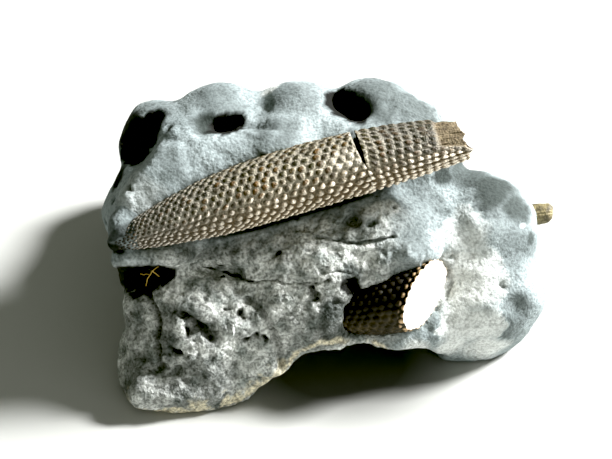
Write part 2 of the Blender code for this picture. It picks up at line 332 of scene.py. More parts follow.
def add(tree, kind, inputs=(), stops=(), out=0, **settings):
    """Adds a node, and gives its output `out`.

    inputs maps a socket to a value, a hex colour, or a socket to link to it. stops are the
    places and colours, or greys from 0 to 1, of a colour ramp.
    """
    made = tree.nodes.new("ShaderNode" + kind)
    for key, value in settings.items():
        setattr(made, key, value)
    for key, value in dict(inputs).items():
        if isinstance(value, bpy.types.NodeSocket):
            tree.links.new(value, made.inputs[key])
        else:
            made.inputs[key].default_value = linear(value) if isinstance(value, str) else value
    for k, (at, value) in enumerate(stops):
        ramp = made.color_ramp
        stop = ramp.elements[k] if k < 2 else ramp.elements.new(at)
        stop.position = at
        stop.color = linear(value) if isinstance(value, str) else (value, value, value, 1)
    return made.outputs[out]


def new_material(name, roughness, ior):
    """A material, its tree, its Principled shader, and the place in metres that it shades."""
    made = bpy.data.materials.new(name)
    made.use_nodes = True
    shader = made.node_tree.nodes["Principled BSDF"]
    shader.inputs["Roughness"].default_value = roughness
    shader.inputs["IOR"].default_value = ior
    return made, made.node_tree, shader, add(made.node_tree, "TexCoord", out="Object")


def per_mm(size):
    """The scale of a pattern whose cells are `size` mm wide, on coordinates in metres."""
    return 1000 / size


# Fossil calcite, stained brown by iron. The granules are worn to a dull satin and the marl that
# fills the valleys between them is pale and powdery.
calcite, tree, shader, place = new_material("granulated_fossil_calcite", 0.55, 1.6)
height, tone, lift, share, bare, broken, side, worn = (
    add(tree, "Attribute", out="Fac", attribute_name=key)
    for key in ("height", "tone", "lift", "share", "bare", "broken", "side", "worn")
)
patches = add(tree, "TexNoise", {"Vector": place, "Scale": per_mm(3.2), "Detail": 3.0})
grain = add(tree, "TexNoise", {"Vector": place, "Scale": per_mm(0.2), "Detail": 2.0})
own_lift = add(tree, "Math", {0: tone, 1: 0.5, 2: lift}, operation="MULTIPLY_ADD")
under = add(tree, "MapRange", {"Value": own_lift, "From Min": 0.2, "From Max": -0.45})

# the valleys: marl, which is browner under the spine, where the valleys are bare of it, and there
# darkened as painted shade
dust = add(tree, "ValToRGB", {"Fac": patches}, stops=((0.3, "#807b6c"), (0.6, "#9b9587")))
ends = {"From Min": 0.7, "From Max": 0.0, "To Min": 0.78, "To Max": 1.42}
brighter = add(tree, "MapRange", {"Value": lift, **ends})
dust = add(tree, "HueSaturation", {"Value": brighter, "Color": dust})
valley = add(tree, "MixRGB", {"Fac": under, "Color1": dust, "Color2": "#6a5b46"})

# the granules: brown to olive and paler on the spine's lower side as painted light, with a painted
# highlight in cream on their lower right and painted shade on the other side
browns = ((0.0, "#373022"), (1.0, "#5f5746"), (0.3, "#434023"), (0.55, "#644a24"), (0.8, "#453d2e"))
tips = add(tree, "ValToRGB", {"Fac": tone}, stops=browns)
painted_shade_side = add(tree, "MapRange", {"Value": side, "From Min": -0.3, "From Max": -0.8, "To Max": 0.8})
turned = add(tree, "Math", {0: under, 1: 0.6, 2: side}, operation="MULTIPLY_ADD")
painted_highlight_side = add(tree, "MapRange", {"Value": turned, "From Min": 0.15, "From Max": 0.65})
painted_highlight_colour = add(tree, "MixRGB", {"Fac": under, "Color1": "#857f6e", "Color2": "#fdf2e0"})
for amount, colour in ((under, "#a89880"), (painted_shade_side, "#2a2117"), (painted_highlight_side, painted_highlight_colour)):
    tips = add(tree, "MixRGB", {"Fac": amount, "Color1": tips, "Color2": colour})
high = add(tree, "ValToRGB", {"Fac": height}, stops=((0.2, 0.0), (0.55, 1.0)))
skin = add(tree, "MixRGB", {"Fac": high, "Color1": valley, "Color2": tips})
worn = add(tree, "Math", {0: worn, 1: high}, operation="MULTIPLY")
skin = add(tree, "MixRGB", {"Fac": worn, "Color1": skin, "Color2": "#f6efde"})

# greyer and duller towards the tip at the left, and duller above on the piece at the right
grey = add(tree, "MapRange", {"Value": share, "From Min": 0.38, "From Max": 0.1, "To Max": 0.75})
dimmer = add(tree, "MapRange", {"Value": under, "To Min": 1.0, "To Max": 0.62})
late = add(tree, "MapRange", {"Value": share, "From Min": 0.7, "From Max": 0.78, "To Max": 0.8})
late = add(tree, "MixRGB", {"Fac": under, "Color1": late, "Color2": "#000000"})
for amount, colourful, bright in ((grey, 0.5, dimmer), (late, 0.7, 0.62)):
    dull = add(tree, "HueSaturation", {"Saturation": colourful, "Value": bright, "Color": skin})
    skin = add(tree, "MixRGB", {"Fac": amount, "Color1": skin, "Color2": dull})

# painted shade on the very tip, where it sinks into a dark crevice; the brown core where the skin
# is gone; and the broken ends painted dark, as shade in the crack between the pieces
painted_tip_shade = add(tree, "MapRange", {"Value": share, "From Min": 0.05, "From Max": 0.025, "To Max": 0.9})
core = add(tree, "TexNoise", {"Vector": place, "Scale": per_mm(0.5), "Detail": 4.0})
core = add(tree, "ValToRGB", {"Fac": core}, stops=((0.3, "#4c4030"), (0.7, "#7f735c")))
for amount, colour in ((painted_tip_shade, "#1a1712"), (bare, core), (broken, "#3a2f22")):
    skin = add(tree, "MixRGB", {"Fac": amount, "Color1": skin, "Color2": colour})
ends = {"From Min": 0.3, "From Max": 0.7, "To Min": 0.5, "To Max": 1.45}
speck = add(tree, "MapRange", {"Value": grain, **ends})
mixed = {"Fac": 1.0, "Color1": skin, "Color2": speck}
skin = add(tree, "MixRGB", mixed, blend_type="MULTIPLY")
tree.links.new(skin, shader.inputs["Base Color"])
rough = add(tree, "MapRange", {"Value": height, "To Min": 0.9, "To Max": 0.5})
tree.links.new(rough, shader.inputs["Roughness"])
bump = add(tree, "Bump", {"Height": grain, "Strength": 0.9, "Distance": 0.00018})
tree.links.new(bump, shader.inputs["Normal"])

for piece, node in ((spine_shaft, "spine_shaft"), (spine_end, "spine_end")):
    piece.data.materials.append(calcite)
    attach(piece, "root")
    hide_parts(node)

# ---- The second spine -----------------------------------------------------------------------
# Another spine of the same kind, in the shade of the ledge, and painted darker as that shade,
# near black on its upper flank. It has parted along a cleavage plane of its crystal, and the
# fresh face is white.

SECOND_SPINE = Spindle(
    (3.2, -8.8, -6.8), (8.7, -8.0, -4.9), (14.8, -6.4, -2.6), 3.25, widest=0.8, reach=(1.3, 1.8)
)
FACE_POINT = np.array((12.73, -6.9, -3.3))  # where the cleavage plane lies
FACE_NORMAL = np.array((0.77, -0.32, 0.552))
FACE_RINGS = 26

# the spine runs from its hidden end to the plane
shares, half_pitches = lattice(SECOND_SPINE, 0.0, 1.0)
angles = np.arange(SIDES) * 2 * math.pi / SIDES
fine = np.linspace(0.0, 1.0, 400)
grid_t, grid_angle = np.meshgrid(fine, angles, indexing="ij")
hull = SECOND_SPINE.skin(grid_t, grid_angle, SECOND_SPINE.radius(grid_t) + 0.2)
beyond = (hull - FACE_POINT) @ FACE_NORMAL
last = np.array([np.interp(0, beyond[:, k], fine) for k in range(SIDES)])
t = np.linspace(0, 1, 120)[:, None] * last[None, :]
angle = np.repeat(angles[None, :], len(t), axis=0)
i = np.interp(t, shares, half_pitches)
j = np.repeat((np.arange(SIDES) / ROW_SIDES)[None, :], len(t), axis=0)
height, tone, _ = granules(i, j, 37, 0.45)
radius = SECOND_SPINE.radius(t) + height * GRANULE_HEIGHT * 0.8
rings = SECOND_SPINE.skin(t, angle, radius)

# the cleavage face has low steps, and its rim is chipped
edge = rings[-1]
edge -= ((edge - FACE_POINT) @ FACE_NORMAL)[:, None] * FACE_NORMAL


def cleaved(points, k):
    """How far each point of ring k of the cleavage face lies above its plane, in mm."""
    across = points @ np.array((0.2, 0.9, 0.4))
    steps = np.round(across * 1.7 + 0.6 * field(points, 2.5, 5)) * 0.05
    return np.minimum(0.35 * (steps - steps.mean()) - 0.06 * ease(np.array(float(k)), 0, 3), 0)


face = end_rings(edge, FACE_RINGS, FACE_NORMAL, cleaved)
start = broken_cap(rings[0], SECOND_SPINE.frame(0.0)[0], 0.1, 3)
values = dict(height=height, tone=tone, lift=np.sin(angle), face=np.zeros(t.shape))
values["rim_highlight"] = ease(t / last, 0.925, 0.955)
caps = ((start, {}), (face, {"face": 1}))
second_spine = closed_grid("second_spine_granulated", rings, values, caps)

# Brown calcite with a white face: clean cleaved calcite is bright, with a faint glaze. The
# skin is painted darker as shade, near black on the upper flank, and the granules along the
# face's rim carry a painted highlight.
painted_shade_calcite, tree, shader, place = new_material("fossil_calcite_painted_shade_cleaved_white", 0.6, 1.5)
height, tone, lift, is_face, rim_highlight = (
    add(tree, "Attribute", out="Fac", attribute_name=key)
    for key in ("height", "tone", "lift", "face", "rim_highlight")
)
stain_and_painted_light = add(tree, "TexNoise", {"Vector": place, "Scale": per_mm(1.6), "Detail": 4.0})
stain_and_painted_light = add(tree, "ValToRGB", {"Fac": stain_and_painted_light}, stops=((0.4, "#2a2418"), (0.66, "#5f553f")))
rise = add(tree, "ValToRGB", {"Fac": height}, stops=((0.3, 0.0), (0.85, 1.0)))
# painted shade: the upper flank near black, in the shade of the ledge
low = add(tree, "MapRange", {"Value": lift, "From Min": 0.0, "From Max": -0.6})
painted_shade_net = add(tree, "MixRGB", {"Fac": low, "Color1": "#090806", "Color2": stain_and_painted_light})
skin = add(tree, "MixRGB", {"Fac": rise, "Color1": painted_shade_net, "Color2": "#2b251c"})
# painted highlight on the granules along the face's rim
rim_highlight = add(tree, "Math", {0: rim_highlight, 1: rise}, operation="MULTIPLY")
for amount, colour in ((rim_highlight, "#e2c298"), (is_face, "#f4f1e8")):
    skin = add(tree, "MixRGB", {"Fac": amount, "Color1": skin, "Color2": colour})
tree.links.new(skin, shader.inputs["Base Color"])
grain = add(tree, "TexNoise", {"Vector": place, "Scale": per_mm(0.35), "Detail": 2.0})
bump = add(tree, "Bump", {"Height": grain, "Strength": 0.4, "Distance": 0.0001})
tree.links.new(bump, shader.inputs["Normal"])
second_spine.data.materials.append(painted_shade_calcite)
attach(second_spine, "root")
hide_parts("second_spine")

# ---- The stub -------------------------------------------------------------------------------
# The worn shaft of a thinner spine at the right edge: olive-brown calcite, finely ribbed
# lengthwise and broken off blunt.

THIRD_SPINE = Spindle(
    (20.6, 0.9, -12.2), (24.2, 1.5, -11.3), (27.7, 1.9, -10.9), 1.15, widest=0.4, reach=(1.2, 1.1)
)
STUB_SIDES = 96

round_it = np.arange(STUB_SIDES) * 2 * math.pi / STUB_SIDES
t, angle = np.meshgrid(np.linspace(0, 0.95, 60), round_it, indexing="ij")
ribs = np.abs(np.sin(angle * 9)) ** 0.8
lumpy = field(THIRD_SPINE.skin(t, angle, THIRD_SPINE.radius(t)), 1.2, 8, 3)
radius = THIRD_SPINE.radius(t) * (1 + 0.05 * lumpy) + 0.07 * ribs - 0.35 * ease(t, 0.86, 0.955) ** 2
rings = THIRD_SPINE.skin(t, angle, radius, 0.15 * ease(t, 0.6, 1.0))
along = THIRD_SPINE.frame(0.5)[0]
caps = (
    (broken_cap(rings[0], along, 0.1, 4, 4), {}),
    (broken_cap(rings[-1], -along, 0.12, 6, 6), {}),
)
spine_stub = closed_grid("spine_stub_ribbed", rings, {}, caps)

# Calcite again, weathered to a mottled olive and quite matt.
olive_calcite, tree, shader, place = new_material("olive_fossil_calcite", 0.6, 1.6)
mottle = add(tree, "TexNoise", {"Vector": place, "Scale": per_mm(0.9), "Detail": 4.0})
mottle = add(tree, "ValToRGB", {"Fac": mottle}, stops=((0.35, "#4d4632"), (0.65, "#8a7f5e")))
tree.links.new(mottle, shader.inputs["Base Color"])
grain = add(tree, "TexNoise", {"Vector": place, "Scale": per_mm(0.3), "Detail": 2.0})
bump = add(tree, "Bump", {"Height": grain, "Strength": 0.6, "Distance": 0.0002})
tree.links.new(bump, shader.inputs["Normal"])
spine_stub.data.materials.append(olive_calcite)
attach(spine_stub, "root")
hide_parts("spine_stub")

# ---- The stone ------------------------------------------------------------------------------
# Marly limestone: hardened lime mud that closes tightly round the spines. Its surface is
# weathered into knobs and pits, crumbly in the small, with deep dark holes between the knobs.

COARSE_GRAIN = 0.45  # mm, the mesh on which the holes are pressed in
FINE_GRAIN = 0.38  # mm, the finished mesh; its front is twice as fine
PICTURE = (612, 459)  # pixels
FOCAL_LENGTH = 1900  # pixels
CAMERA_AWAY = 200  # mm, straight out from the slope


def remeshed(mesh, size, smooth):
    """The mesh rebuilt in even faces of the size given, and smoothed that many times."""
    obj = placed("marl", mesh)
    skin = obj.modifiers.new("skin", "REMESH")
    skin.mode = "VOXEL"
    skin.voxel_size = size * MM
    soften = obj.modifiers.new("soften", "SMOOTH")
    soften.iterations = smooth
    soften.factor = 0.5
    made = bpy.data.meshes.new_from_object(obj.evaluated_get(bpy.context.evaluated_depsgraph_get()))
    bpy.data.objects.remove(obj)
    return made


def read(mesh, what="co"):
    """The mesh's points, or their normals, one to a row."""
    values = np.empty(len(mesh.vertices) * 3)
    mesh.vertices.foreach_get(what, values)
    return values.reshape(-1, 3)


def write(mesh, points):
    mesh.vertices.foreach_set("co", points.reshape(-1))
    mesh.update()


def to_slope(points):
    """Points in the model's frame, in metres, to the slope's frame, in mm."""
    return (points / MM - SLOPE_ORIGIN) @ SLOPE_AXES.T


def on_block(across, down):
    """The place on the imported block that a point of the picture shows, in the slope's frame."""
    ray = ((across - PICTURE[0] / 2) / FOCAL_LENGTH, (PICTURE[1] / 2 - down) / FOCAL_LENGTH, -1)
    ray = Vector(SLOPE_AXES.T @ ray).normalized()
    eye = Vector(from_slope((0, 0, CAMERA_AWAY)))
    hit = block.ray_cast(eye, ray)[0] or block.find_nearest(eye + ray * CAMERA_AWAY * MM)[0]
    return to_slope(np.array(hit)).round(1)


def in_mm(size, depth):
    """A size in the picture, in pixels, at that depth in the slope's frame, in mm."""
    return round(size * (CAMERA_AWAY - depth) / FOCAL_LENGTH, 2)


def spun(turn):
    """The turn by that many degrees in the slope, as a matrix."""
    c, s = math.cos(math.radians(turn)), math.sin(math.radians(turn))
    return np.array(((c, s, 0), (-s, c, 0), (0, 0, 1)))


def pressed(points, centre, radii, turn):
    """Moves the points that lie in an ellipsoid straight into the slope, until out of it."""
    q = (points - centre) @ spun(turn).T / radii
    inside = (q**2).sum(axis=1) < 1
    q, deep = q[inside], radii[2]
    moved = points.copy()
    moved[inside, 2] -= deep * (q[:, 2] + np.sqrt(q[:, 2] ** 2 - (q**2).sum(axis=1) + 1))
    return moved


def from_line(points, line):
    """Each point's distance from a line through the places given."""
    nearest = np.full(len(points), 1e9)
    for first, second in zip(line[:-1], line[1:]):
        first, second = np.array(first), np.array(second)
        run = second - first
        share = ((points - first) @ run / (run @ run)).clip(0, 1)
        nearest = np.minimum(nearest, ((points - first - share[:, None] * run) ** 2).sum(axis=1))
    return np.sqrt(nearest)


LUMPS = (
    # centre, radii, turn; in the slope's frame, in mm
    ((11.2, -2.6, -3.6), (3.6, 1.7, 2.3), 12),  # lip of the ledge over the second spine
    ((7.2, -4.6, -3.9), (2.3, 1.5, 1.9), 0),
    ((-15.4, 7.2, -5), (1.9, 1.9, 2.6), 0),  # between the first hole and the long spine
    ((-17.6, -17.2, -6.4), (1.9, 2.4, 3), 0),  # corner of the left foot
    ((-15, -17.6, -6.6), (4.2, 1.7, 3), 0),
    ((-19.5, -0.2, -0.9), (1.7, 2.3, 2.5), -8),  # closes over the long spine's tip
    ((-18.6, -3.3, -1.7), (2.4, 0.75, 2.6), 4),  # shelf under the long spine's tip
    ((-14.8, -3.1, -1.6), (3, 0.6, 2), 4),
)
SHOULDER = (  # outline of the flat face at the upper left, in mm
    (-21, -0.6), (-20.4, 2.6), (-18.8, 5.2), (-17.2, 7.2), (-15.8, 9.3), (-13, 9.8),
    (-12, 6), (-18, 0.5), (-21, -0.6),
)
SHOULDER_LEVEL = -0.35  # mm, its height at the first point
HOLES = (
    # centre, radii, turn; in the slope's frame, in mm
    ((-18, 10, -4.4), (3.6, 1.35, 5.2), 49),  # deep holes between the lobes along the top
    ((-18.7, 8.8, -4.6), (1.7, 1.5, 4.6), 49),
    ((-8.5, 11.1, -4.4), (1.85, 1, 4.4), 20),
    ((3.9, 13.8, -5), (1.9, 1.3, 4.2), -38),
    ((5.3, 12.8, -5), (1.8, 1.1, 4.2), -50),
    ((-18.6, -5.4, -4), (3.3, 1.75, 6), 8),  # the cavity under the long spine's tip
    ((-16.4, -4.9, -2.4), (2.3, 1, 3.4), 8),
    ((-8.9, -4.4, -2.4), (1.35, 0.28, 2), -14),  # the crack that runs on from it
    ((4.5, -5.9, -2.8), (1.3, 0.6, 1.5), -20),  # beside the second spine
)
SHADES = (  # where the holes' blackness spreads past them, the same way
    ((-19.2, 10.8, -6.6), (2, 2.6, 3.4), 10),
    ((-20.3, 5.4, -5.6), (0.1, 1.5, 3), -25),
    ((-20, -1.9, 0.4), (1.1, 0.2, 1.6), -28),  # the fissure beside the long spine's tip
    ((5, 10.7, -0.9), (0.5, 0.9, 1.2), 10),  # behind the crack across the long spine
    ((-20.6, -5, -9), (2.6, 1.7, 6), 0),
)
SWELLS = (
    # across and down in the picture, and reach, in pixels; height in mm, a dent where below 0
    (210, 332, 9, -1.2),
    (193, 327, 8, -0.9),
    (182, 314, 6, -0.7),
    (180, 292, 4, -0.4),
    (228, 331, 6, 0.55),
    (228, 331, 3, -0.35),
    (240, 328, 22, 0.5),
    (236, 338, 4, -0.3),
    (190, 355, 6, 0.7),
    (167, 357, 6, 0.6),
    (168, 340, 8, 0.35),
    (178, 345, 6, 0.25),
    (129, 340, 3.5, 0.3),
    (139, 331, 4.5, -0.4),
    (132, 313, 3.5, -0.25),
    (160, 366, 9, -0.9),
    (177, 370, 7, -0.7),
    (247, 302, 5, -0.6),
    (240, 288, 6, -0.5),
    (255, 294, 5, -0.4),
    (205, 290, 5, -0.35),
    (216, 288, 4, -0.35),
    (132, 380, 9, -0.6),
    (145, 393, 7, -0.5),
    (352, 220, 8, -1.5),
    (343, 226, 5, -0.6),
    (364, 214, 4, 0.4),
    (372, 223, 6, -1),
    (378, 217, 3.5, -0.4),
    (322, 271, 5, -0.5),
    (315, 294, 6, -1.2),
    (336, 302, 4, -0.7),
    (333, 288, 4, -0.45),
    (345, 286, 4, -0.35),
    (321, 321, 4, -0.45),
    (452, 257, 4, -0.9),
    (440, 215, 7, -0.4),
    (441, 231, 6, -0.3),
    (469, 238, 7, -0.35),
    (480, 215, 6, -0.3),
    (425, 222, 9, 0.25),
    (374, 281, 6, 0.6),
    (385, 262, 12, 0.5),
    (410, 254, 12, 0.8),
    (425, 250, 9, 0.6),
    (396, 268, 7, 0.4),
    (448, 321, 8, -0.35),
    (500, 284, 5, -0.4),
    (516, 308, 13, -0.5),
    (460, 275, 5, -0.2),
    (430, 330, 6, -0.3),
    (283, 300, 8, 0.3),
    (296, 320, 9, 0.3),
    (262, 340, 10, 0.3),
    (207, 372, 10, 0.25),
    (300, 228, 7, -0.4),
    (255, 262, 6, 0.3),
    (270, 250, 5, -0.3),
    (285, 262, 6, 0.25),
    (318, 255, 7, 0.25),
    (345, 258, 7, 0.25),
    (205, 262, 4, 0.2),
    (268, 108, 7, -0.3),
    (152, 152, 7, 0.35),
    (130, 200, 7, 0.3),
    (118, 215, 5, -0.4),
    (175, 135, 8, 0.3),
    (300, 120, 9, 0.25),
    (255, 130, 6, -0.25),
    (282, 131, 6, -0.3),
    (390, 104, 8, -0.3),
    (410, 98, 7, 0.3),
)
TOP_DENT = ((-10.9, 11, -3.2), 1.5, -0.8)  # mm, in the rim of a hole: centre, reach, height
GROOVES = (
    # points and width, in the same way; height in mm, a ridge where above 0
    (((150, 292), (155, 310), (160, 322), (157, 340), (160, 356), (163, 366)), 5, -0.75),
    (((180, 312), (192, 321), (202, 329), (211, 338)), 6, -0.9),
    (((130, 335), (136, 350), (141, 368)), 8, 0.4),
    (((250, 300), (262, 311), (272, 330), (278, 349), (281, 366)), 6, -0.5),
    (((222, 280), (232, 298), (240, 312)), 6, 0.3),
    (((208, 267), (215, 269), (223, 272), (231, 274)), 2.6, -1.9),
    (((231, 274), (243, 278), (251, 282)), 2.6, -0.9),
    (((162, 264), (176, 262), (191, 263), (207, 267)), 1.6, -0.8),
    (((251, 282), (268, 280), (290, 283), (312, 284), (330, 280)), 1.3, -0.35),
    (((318, 238), (334, 240), (350, 243), (364, 242), (380, 240), (394, 238)), 2.4, -0.45),
    (((322, 245), (340, 247), (360, 248), (380, 246)), 4, 0.3),
    (((312, 288), (317, 299)), 4, -0.9),
    (((320, 273), (338, 272), (352, 273)), 1.5, -0.3),
    (((150, 150), (160, 147), (176, 149)), 3, 0.3),
    (((152, 155), (165, 152), (178, 153)), 1.6, -0.35),
    (((240, 126), (258, 127), (275, 129)), 4, -0.35),
    (((240, 133), (262, 136), (282, 133)), 3, 0.25),
    (((430, 262), (446, 268), (452, 282), (446, 300), (437, 312)), 3, -0.35),
    (((500, 283), (505, 288)), 2.5, -0.4),
)

SWELL_SPREAD, GROOVE_SPREAD = 1.35, 0.9  # how far each tells, in its own reach or width
GROOVES_LIE = -4.3  # mm, in the slope's frame
FRONT_RIGHT, FRONT_TOP, FRONT_DEPTH = 14, 9.5, -9  # mm, limits of the finer mesh
ROUGH_RIGHT = 12  # mm, where the crumbly skin ends
STAND_OFF = 0.3  # mm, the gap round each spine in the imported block
CLOSING = 0.45  # mm, how far the marl closes on a spine

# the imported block, with the small lumps that it lacks joined on
solid = bmesh.new()
solid.from_mesh(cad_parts["stone_block"].data)
block = BVHTree.FromBMesh(solid)
bmesh.ops.remove_doubles(solid, verts=solid.verts, dist=1e-6)
for centre, radii, turn in LUMPS:
    stand = Matrix((SLOPE_AXES.T @ spun(turn).T).tolist()).to_4x4()
    stand = Matrix.Translation(from_slope(centre)) @ stand @ Matrix.Diagonal((*radii, 1))
    bmesh.ops.create_icosphere(solid, subdivisions=3, radius=MM, matrix=stand)
mesh = bpy.data.meshes.new("marl")
solid.to_mesh(mesh)
solid.free()
mesh = remeshed(mesh, COARSE_GRAIN, 9)
points = to_slope(read(mesh))
for centre, radii, turn in HOLES:
    points = pressed(points, centre, radii, turn)

# the flat face at the left shoulder: what lies below it within its outline is raised to it
x, y = points[:, 0], points[:, 1]
within = np.zeros(len(points), bool)
for (x0, y0), (x1, y1) in zip(SHOULDER[:-1], SHOULDER[1:]):
    within ^= ((y0 > y) != (y1 > y)) & (x < x0 + (y - y0) * (x1 - x0) / (y1 - y0))
away = from_line(points[:, :2], SHOULDER)
target = SHOULDER_LEVEL + 0.07 * (x + 21) - 0.22 * (y - 6).clip(0)  # falls away at its top
facing = (read(mesh, "normal") @ SLOPE_AXES.T)[:, 2] > 0.2
lifted = within & facing & (points[:, 2] > -7)
points[:, 2] += (target - points[:, 2]).clip(0) * ease(away, 0.0, 0.7) * lifted
write(mesh, from_slope(points))
mesh = remeshed(mesh, FINE_GRAIN, 2)

# the front, where the spines are, gets a finer mesh
solid = bmesh.new()
solid.from_mesh(mesh)
points = to_slope(read(mesh))
front = (points[:, 0] < FRONT_RIGHT) & (points[:, 1] < FRONT_TOP) & (points[:, 2] > FRONT_DEPTH)
out = Vector(SLOPE_AXES[2])
shown = [f for f in solid.faces if out.dot(f.normal) > 0.15 and front[f.verts[0].index]]
edges = dict.fromkeys(edge for face in shown for edge in face.edges)  # keeps their order
bmesh.ops.subdivide_edges(solid, edges=list(edges), cuts=1, use_grid_fill=True)
solid.to_mesh(mesh)
solid.free()

# the small forms, on what faces out of the slope; depth counts less in how near one is
NEARNESS = np.array((1, 1, 0.4))
points, normals = to_slope(read(mesh)), read(mesh, "normal") @ SLOPE_AXES.T
outward = ease(normals[:, 2], 0.0, 0.3)
warp = 0.35 * np.stack([field(points, 1.1, seed, 2) for seed in (21, 22, 23)], axis=-1)
swells = [TOP_DENT]
for across, down, reach, height in SWELLS:
    centre = on_block(across, down)
    swells.append((centre, in_mm(reach, centre[2]), height))
for centre, reach, height in swells:
    away = (points + warp - centre) * NEARNESS
    near = (1 - (away**2).sum(axis=1) / (reach * SWELL_SPREAD) ** 2).clip(0) ** 2
    points = points + normals * (height * near * outward)[:, None]
dark_lines = np.zeros(len(points))
for line, width, height in GROOVES:
    line = np.array([on_block(across, down) for across, down in line])
    away = from_line((points + 0.5 * warp) * NEARNESS, line * NEARNESS)
    reach = in_mm(width, GROOVES_LIE) * GROOVE_SPREAD
    near = (1 - (away / reach) ** 2).clip(0) ** 1.2 * outward
    points = points + normals * (height * near)[:, None]
    if height < -0.3:
        dark_lines = np.maximum(dark_lines, near * min(1.0, -height))

# the weathered skin: crumbly below the long spine, smoother above it and at the right
swells = field(points, 3.4, 4, 2)
knobs = 1 - 2.4 * np.abs(field(points, 1.9, 1, 2))
crumbs = field(points, 0.85, 2, 2)
grit = field(points, 0.42, 3)
pits = ease(field(points, 1.5, 6, 2), 0.5, 0.85) * ease(field(points, 6.0, 12), -0.1, 0.3)
pits = pits * ease(ROUGH_RIGHT - points[:, 0], 0.0, 3.0)
below = ease(0.235 * points[:, 0] + 1.6 - points[:, 1], 0.0, 2.0)
below = below * ease(ROUGH_RIGHT - points[:, 0], 0.0, 6.0)
rough = 0.15 + 0.65 * below + 0.2 * ease(field(points, 6.0, 7), -0.3, 0.3)
relief = 0.5 * knobs + 0.6 * crumbs + 0.35 * grit
fine = 0.14 * knobs + 0.15 * crumbs + 0.08 * grit
rise = 0.12 + 0.2 * swells + rough * fine - 0.5 * pits  # mm
points = points + normals * rise[:, None]


def near_axis(points, spindle):
    """Each point's distance from the spindle's axis, and the nearest place on it and its share."""
    t = np.linspace(0, 1, 160)
    axis = spindle.axis(t)
    best, found = np.full(len(points), 1e9), np.zeros(len(points), int)
    for k, place in enumerate(axis):
        away = ((points - place) ** 2).sum(axis=1)
        closer = away < best
        best[closer], found[closer] = away[closer], k
    return np.sqrt(best), axis[found], t[found]


# the stone closes on each spine, but leaves a shadow gap under the long one
for spindle, stop in ((LONG_SPINE, 1.0), (SECOND_SPINE, 0.9), (THIRD_SPINE, 1.0)):
    away, foot, t = near_axis(points, spindle)
    full = spindle.radius(t)
    gap = away - (full + STAND_OFF)
    pull = CLOSING * (1 - ease(gap, 0.4, 1.6)) * (t < stop)
    if spindle is LONG_SPINE:
        side = ((points - foot) * spindle.frame(t)[2]).sum(axis=1) / away
        clear = ease(-side, 0.35, 0.7) * ease(t, 0.16, 0.3) * (1 - ease(t, 0.8, 0.9))
        pull = pull * (1 - clear) - 0.25 * clear * (1 - ease(gap, 0.2, 1.0))
        # painted shadow: dark lines in the gap under the long spine and along its upper edge
        above, beneath = (sign * side * away - full - 0.36 for sign in (1, -1))
        above = (1 - ease(above, -0.05, 0.35)) * (1 - ease(t, 0.3, 0.45)) * (side > 0.2)
        beneath = (1 - ease(beneath, 0.08, 0.5)) * (side < -0.2)
        shadow = 0.7 * above + beneath * ease(t, 0.16, 0.26) * (1 - ease(t, 0.66, 0.84))
    new = np.maximum(away - pull, full + 0.05)
    near = gap < 1.6
    points[near] = (foot + (points - foot) * (new / away)[:, None])[near]

# painted shade, black, inside the holes and in the cracks, and painted shadow in that gap under the
# long spine and along its upper edge
inside = np.maximum(dark_lines, 0.85 * shadow)
for places, inner, amount in ((HOLES, 0.75, 1.0), (SHADES, 0.35, 0.93)):
    for centre, radii, turn in places:
        q = (points + warp - centre) @ spun(turn).T / (np.array(radii) + 0.45)
        inside = np.maximum(inside, amount * (1 - ease((q**2).sum(axis=1), inner, 1.1)))
